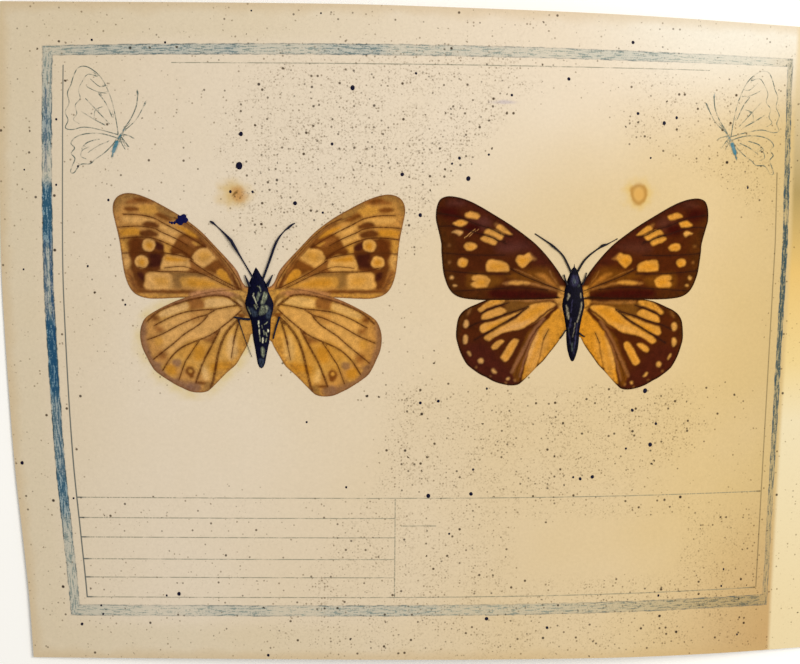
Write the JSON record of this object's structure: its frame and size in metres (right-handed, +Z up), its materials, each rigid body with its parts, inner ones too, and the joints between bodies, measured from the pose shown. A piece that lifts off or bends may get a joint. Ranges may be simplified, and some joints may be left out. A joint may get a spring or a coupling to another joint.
{
  "type": "butterfly specimen album leaf",
  "caption": "Bowed album leaf of thick aged paper with spread butterflies fixed flat on it, underside up and upperside up, in a printed frame above a ruled label table.",
  "frame": {"origin": "middle of the leaf's box, on the surface that it lies on", "axes": "+X to the page's right, towards the binding strip; +Y to the page's top; +Z up, out of the face that carries the butterflies"},
  "size_m": [0.2591, 0.1834, 0.0096],
  "materials": {
    "aged_paper": "matte",
    "underside_wing": "matte",
    "upperside_wing": "matte",
    "dried_body": "satin"
  },
  "bodies": {
    "root": {"album_leaf": "aged_paper", "underside_left_forewing": "underside_wing", "underside_right_forewing": "underside_wing", "underside_left_hindwing": "underside_wing", "underside_right_hindwing": "underside_wing", "underside_body": "dried_body", "underside_left_antenna": "dried_body", "underside_right_antenna": "dried_body", "underside_left_foreleg": "dried_body", "underside_right_foreleg": "dried_body", "underside_left_midleg": "dried_body", "underside_right_midleg": "dried_body", "underside_left_hindleg": "dried_body", "upperside_left_forewing": "upperside_wing", "upperside_right_forewing": "upperside_wing", "upperside_left_hindwing": "upperside_wing", "upperside_right_hindwing": "upperside_wing", "upperside_body": "dried_body", "upperside_left_antenna": "dried_body", "upperside_right_antenna": "dried_body", "upperside_left_foreleg": "dried_body", "upperside_right_foreleg": "dried_body", "upperside_left_hindleg": "dried_body", "upperside_right_hindleg": "dried_body"}
  },
  "joints": []
}
